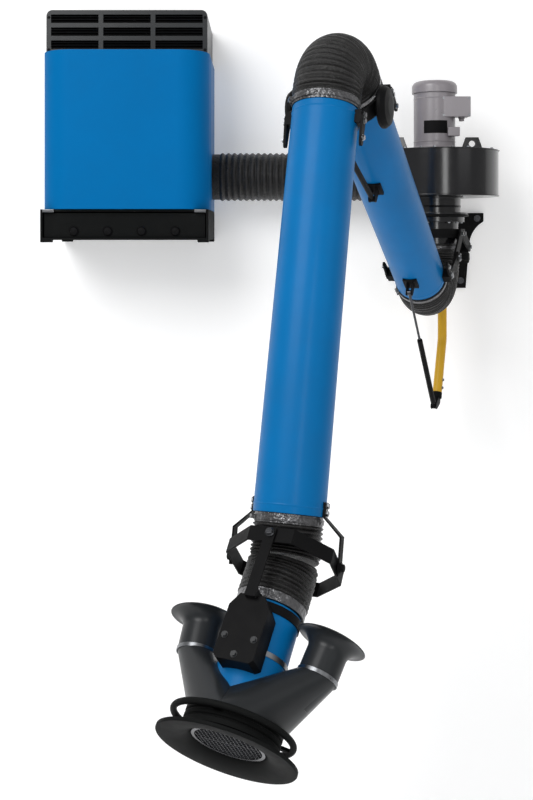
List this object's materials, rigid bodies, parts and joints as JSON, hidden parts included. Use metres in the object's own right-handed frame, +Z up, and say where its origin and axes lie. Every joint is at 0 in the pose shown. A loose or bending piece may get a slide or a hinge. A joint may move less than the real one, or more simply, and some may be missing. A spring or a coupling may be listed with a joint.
{
  "type": "fume extraction arm",
  "caption": "Wall-mounted jointed fume extraction arm with a tilting push-pull hood, scroll fan, ribbed duct and filter cabinet.",
  "frame": {"origin": "middle of the back face of the arm wall plate", "axes": "+X right along the wall, +Y into the wall, +Z up"},
  "size_m": [1.96, 2.6081, 2.358],
  "materials": {
    "blue_paint": "satin powder coat",
    "black_paint": "satin black paint",
    "fan_gloss_black": "gloss black paint",
    "motor_grey": "satin grey paint",
    "bright_steel": "plated steel",
    "yellow_paint": "satin yellow paint",
    "hose_rubber": "matt coated fabric hose",
    "filter_media": "pleated filter paper",
    "black_plastic": "satin moulded plastic"
  },
  "bodies": {
    "frame": {"wall_plate": "black_paint", "bracket_frame": "black_paint", "swivel_bearing": "black_paint", "inlet_spigot": "fan_gloss_black", "fan_scroll": "fan_gloss_black", "fan_lid": "fan_gloss_black", "outlet_transition": "black_paint", "motor_body": "motor_grey", "motor_cap": "motor_grey", "terminal_box": "motor_grey", "duct_hose": "hose_rubber", "cabinet_body": "blue_paint", "filter_cartridge": "filter_media", "top_grille": "black_paint", "base_housing": "black_paint"},
    "rotor": {"impeller": "bright_steel", "motor_shaft": "bright_steel"},
    "cover": {"front_cover": "blue_paint"},
    "drawer": {"dust_drawer": "black_paint"},
    "swivel": {"swivel_duct": "black_paint", "shoulder_fork": "black_paint", "lever_tube": "yellow_paint", "lever_clevis": "black_paint", "shoulder_pin_left": "bright_steel", "shoulder_pin_right": "bright_steel", "base_hose": "hose_rubber"},
    "knob": {"shoulder_knob": "black_plastic"},
    "lift_cylinder": {"lift_spring_cylinder": "black_paint"},
    "lift_rod": {"lift_spring_rod": "bright_steel"},
    "inner_arm": {"inner_tube": "blue_paint", "inner_lower_yoke": "black_paint", "inner_upper_yoke": "black_paint", "lift_pad": "black_paint", "elbow_pad": "black_paint", "elbow_hose": "hose_rubber"},
    "elbow_cylinder": {"elbow_spring_cylinder": "black_paint"},
    "elbow_rod": {"elbow_spring_rod": "bright_steel"},
    "outer_arm": {"outer_tube": "blue_paint", "outer_yoke": "black_paint", "elbow_pin_left": "bright_steel", "elbow_pin_right": "bright_steel", "elbow_clamp": "bright_steel", "side_strap_left": "black_paint", "side_strap_right": "black_paint", "hood_hose_upper": "hose_rubber", "hood_clamp": "bright_steel"},
    "gimbal": {"gimbal_ring": "black_paint"},
    "hood": {"hood_hanger": "black_paint", "hood_hose_lower": "hose_rubber", "hood_neck": "blue_paint", "plenum": "black_plastic", "dish": "black_plastic", "inlet_grille": "bright_steel", "ring_handle": "black_plastic", "horn_left": "black_plastic", "horn_right": "black_plastic", "side_duct_left": "black_plastic", "side_duct_right": "black_plastic"},
    "supply_fan_l": {"supply_fan_left": "black_plastic"},
    "supply_fan_r": {"supply_fan_right": "black_plastic"}
  },
  "joints": [
    {"name": "base_swivel", "type": "hinge", "parent": "frame", "child": "swivel", "pos_m": [0, -0.38, 0], "axis": [0, 0, 1], "range_deg": [-40, 85]},
    {"name": "shoulder_lift", "type": "hinge", "parent": "swivel", "child": "inner_arm", "pos_m": [-0.05017, -0.5107, -0.021], "axis": [-0.9336, 0.3584, 0], "range_deg": [-25, 25], "deforming": ["base_hose"]},
    {"name": "elbow_bend", "type": "hinge", "parent": "inner_arm", "child": "outer_arm", "pos_m": [-0.49658, -1.67364, 0.47148], "axis": [0.9336, -0.3584, 0], "range_deg": [-40, 30], "deforming": ["elbow_hose"]},
    {"name": "hood_tilt", "type": "hinge", "parent": "outer_arm", "child": "gimbal", "pos_m": [-0.67646, -2.14223, -0.82484], "axis": [-0.9336, 0.3584, 0], "range_deg": [-63, 10], "deforming": ["hood_hose_upper"]},
    {"name": "hood_swing", "type": "hinge", "parent": "gimbal", "child": "hood", "pos_m": [-0.67646, -2.14223, -0.82484], "axis": [0.26, 0.6772, -0.6884], "range_deg": [-32, 28], "deforming": ["hood_hose_lower"]},
    {"name": "impeller_spin", "type": "hinge", "parent": "frame", "child": "rotor", "pos_m": [0, -0.38, 0], "axis": [0, 0, 1], "continuous": true},
    {"name": "supply_fan_left_spin", "type": "hinge", "parent": "hood", "child": "supply_fan_l", "pos_m": [-0.89502, -2.17522, -0.96598], "axis": [0.171, 0.6693, 0.723], "continuous": true},
    {"name": "supply_fan_right_spin", "type": "hinge", "parent": "hood", "child": "supply_fan_r", "pos_m": [-0.55834, -2.31811, -0.97941], "axis": [0.4112, 0.5674, 0.7135], "continuous": true},
    {"name": "shoulder_knob_turn", "type": "hinge", "parent": "swivel", "child": "knob", "pos_m": [0.08688, -0.56331, -0.021], "axis": [0.9336, -0.3584, 0], "range_deg": [-180, 180]},
    {"name": "cover_pull", "type": "slide", "parent": "frame", "child": "cover", "axis": [0, -1, 0], "range_m": [0, 0.25]},
    {"name": "drawer_slide", "type": "slide", "parent": "frame", "child": "drawer", "axis": [0, -1, 0], "range_m": [0, 0.3]},
    {"name": "lift_spring_swing", "type": "hinge", "parent": "swivel", "child": "lift_cylinder", "pos_m": [-0.00287, -0.38747, -0.667], "axis": [0.9336, -0.3584, 0], "range_deg": [-8, 8]},
    {"name": "lift_spring_stroke", "type": "slide", "parent": "lift_cylinder", "child": "lift_rod", "axis": [-0.2358, -0.6143, 0.753], "range_m": [-0.16, 0.16]},
    {"name": "elbow_spring_swing", "type": "hinge", "parent": "inner_arm", "child": "elbow_cylinder", "pos_m": [-0.35679, -1.30946, 0.19828], "axis": [0.9336, -0.3584, 0], "range_deg": [-6, 6]},
    {"name": "elbow_spring_stroke", "type": "slide", "parent": "elbow_cylinder", "child": "elbow_rod", "axis": [-0.3245, -0.8454, 0.4241], "range_m": [-0.07, 0.07]}
  ],
  "couplings": [
    {"joint": "lift_spring_swing", "follows": "shoulder_lift", "ratio": -0.1547},
    {"joint": "lift_spring_stroke", "follows": "shoulder_lift", "m_per_rad": 0.32203},
    {"joint": "elbow_spring_swing", "follows": "elbow_bend", "ratio": -0.03693},
    {"joint": "elbow_spring_stroke", "follows": "elbow_bend", "m_per_rad": -0.07759}
  ]
}
